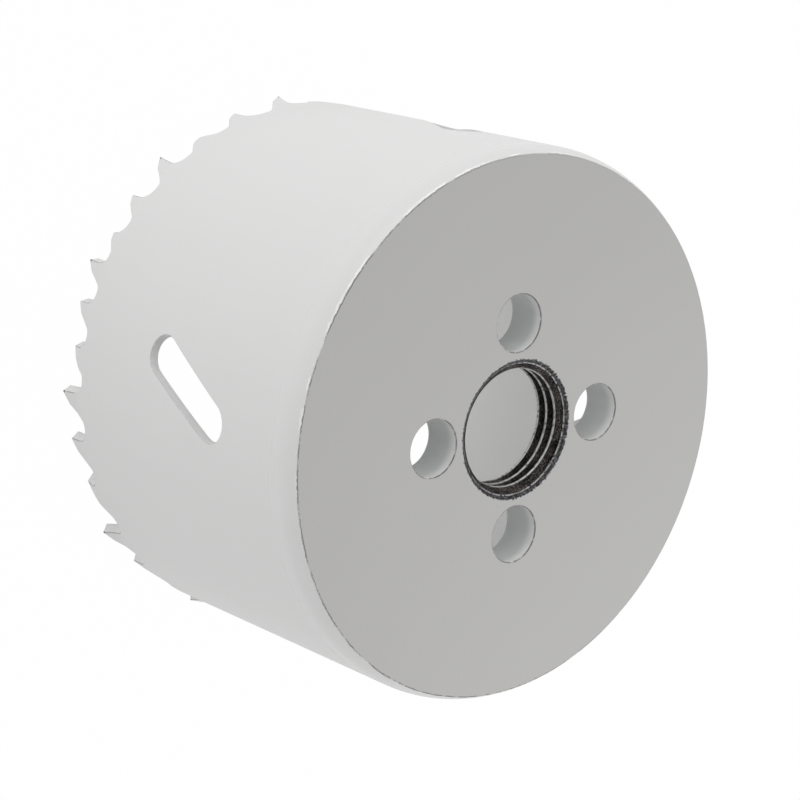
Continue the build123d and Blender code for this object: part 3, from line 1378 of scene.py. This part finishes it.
def pointing(azimuth, elevation):
    """The direction at that turn from -Y and that height above the horizon."""
    return Vector((sin(azimuth) * cos(elevation), -cos(azimuth) * cos(elevation), sin(elevation)))


def area_lamp(name, power, aim, azimuth, elevation, distance, size):
    """A square soft lamp that looks at the aim point."""
    light = bpy.data.lights.new(name, "AREA")
    light.shape = "SQUARE"
    light.size = size
    light.energy = power
    lamp = bpy.data.objects.new(name, light)
    away = pointing(radians(azimuth), radians(elevation))
    lamp.location = aim + away * distance
    lamp.rotation_mode = "QUATERNION"
    lamp.rotation_quaternion = away.to_track_quat("Z", "Y")
    bpy.context.scene.collection.objects.link(lamp)


class HOLESAW_OT_stage(bpy.types.Operator):
    """Set up the camera, the lamps, the backdrop and the floor"""

    bl_idname = "holesaw.stage"
    bl_label = "Stage"

    def execute(self, context):
        stage = context.scene.holesaw_stage
        scene = context.scene
        scene.view_settings.view_transform = "Standard"

        # The camera
        aim = Vector((stage.aim_x, stage.aim_y, plate_high.z))
        back = pointing(stage.camera_azimuth, stage.camera_elevation)
        camera_data = bpy.data.cameras.new("Camera")
        camera_data.lens = stage.lens
        camera_data.sensor_width = 36.0
        camera_data.clip_start = 0.01
        camera_data.clip_end = 20.0
        camera = bpy.data.objects.new("Camera", camera_data)
        level = back.to_track_quat("Z", "Y").to_matrix().to_4x4()
        camera.matrix_world = (
            Matrix.Translation(aim + back * stage.camera_distance)
            @ level
            @ Matrix.Rotation(stage.camera_roll, 4, "Z")
        )
        scene.collection.objects.link(camera)
        scene.camera = camera

        # The world is white behind the saw, and lights it most from the key lamp's side
        world = bpy.data.worlds.new("Studio")
        world.use_nodes = True
        world.node_tree.nodes.clear()
        graph = Graph(world.node_tree)
        seen, _ = self.background_rays(graph)
        direction = graph.add("ShaderNodeTexCoord", {}, {}, "Generated")
        across = graph.add("ShaderNodeSeparateXYZ", {}, {"Vector": direction}, "Y")
        light = (across * -stage.ambient_lean + 1.0) * stage.ambient
        strength = light + seen * (1.0 - light)
        sky = graph.add("ShaderNodeBackground", {}, {"Color": WHITE, "Strength": strength})
        graph.add("ShaderNodeOutputWorld", {}, {"Surface": sky})
        scene.world = world

        middle = Vector((0, 0, plate_high.z / 2))
        area_lamp("Key", stage.key_power, middle, **KEY_LAMP)
        area_lamp("Fill", stage.fill_power, middle, **FILL_LAMP)

        # The floor
        mesh = bpy.data.meshes.new("floor")
        form = bmesh.new()
        bmesh.ops.create_circle(
            form, cap_ends=True, segments=FLOOR_POINTS, radius=stage.floor_radius
        )
        form.to_mesh(mesh)
        form.free()
        floor = bpy.data.objects.new("floor", mesh)
        scene.collection.objects.link(floor)
        material, graph = new_material("Pale floor")
        seen, glossy = self.background_rays(graph)
        matt = graph.add("ShaderNodeBsdfDiffuse", {}, {"Color": FLOOR_COLOR})
        glow = graph.add("ShaderNodeEmission", {}, {"Color": WHITE, "Strength": 1.0})
        glow_share = (1.0 - glossy * GLOSSY_DIMMING) * stage.floor_glow
        share = graph.math("MAXIMUM", seen * SEEN_FLOOR, glow_share)
        inputs = {"Fac": share, "Shader": matt, "Shader_001": glow}
        mixed = graph.add("ShaderNodeMixShader", {}, inputs)
        close_material(graph, mixed)
        mesh.materials.append(material)
        return {"FINISHED"}

    def background_rays(self, graph):
        """How white the background is, less in gloss and 0 for light, and the glossy rays."""
        rays = graph.tree.nodes.new("ShaderNodeLightPath")
        camera, glossy, clear = (
            Value(graph, rays.outputs[name])
            for name in ("Is Camera Ray", "Is Glossy Ray", "Is Transmission Ray")
        )
        seen = graph.math("MAXIMUM", graph.math("MAXIMUM", camera, glossy * GLOSSY_WHITE), clear)
        return seen, glossy


class HOLESAW_PT_panel(bpy.types.Panel):
    """Lists the saw's pieces and their sizes"""

    bl_label = "Hole Saw"
    bl_idname = "HOLESAW_PT_panel"
    bl_space_type = "VIEW_3D"
    bl_region_type = "UI"
    bl_category = "Hole Saw"

    def draw(self, context):
        groups = {
            "holesaw.cup_wall": (context.scene.holesaw_wall,),
            "holesaw.back_plate": (context.scene.holesaw_plate, context.scene.holesaw_thread),
            "holesaw.stage": (context.scene.holesaw_stage,),
        }
        for operator, settings in groups.items():
            box = self.layout.box()
            for group in settings:
                for name in group.__annotations__:
                    box.prop(group, name)
            box.operator(operator)


CLASSES = (
    WallSettings,
    PlateSettings,
    ThreadSettings,
    StageSettings,
    HOLESAW_OT_cup_wall,
    HOLESAW_OT_back_plate,
    HOLESAW_OT_stage,
    HOLESAW_PT_panel,
)


def register():
    for item in CLASSES:
        bpy.utils.register_class(item)
    bpy.types.Scene.holesaw_wall = PointerProperty(type=WallSettings)
    bpy.types.Scene.holesaw_plate = PointerProperty(type=PlateSettings)
    bpy.types.Scene.holesaw_thread = PointerProperty(type=ThreadSettings)
    bpy.types.Scene.holesaw_stage = PointerProperty(type=StageSettings)


def unregister():
    for name in ("holesaw_stage", "holesaw_thread", "holesaw_plate", "holesaw_wall"):
        delattr(bpy.types.Scene, name)
    for item in reversed(CLASSES):
        bpy.utils.unregister_class(item)


def main():
    register()
    bpy.ops.holesaw.stage()
    bpy.ops.holesaw.cup_wall()
    bpy.ops.holesaw.back_plate()


if __name__ == "__main__":
    main()
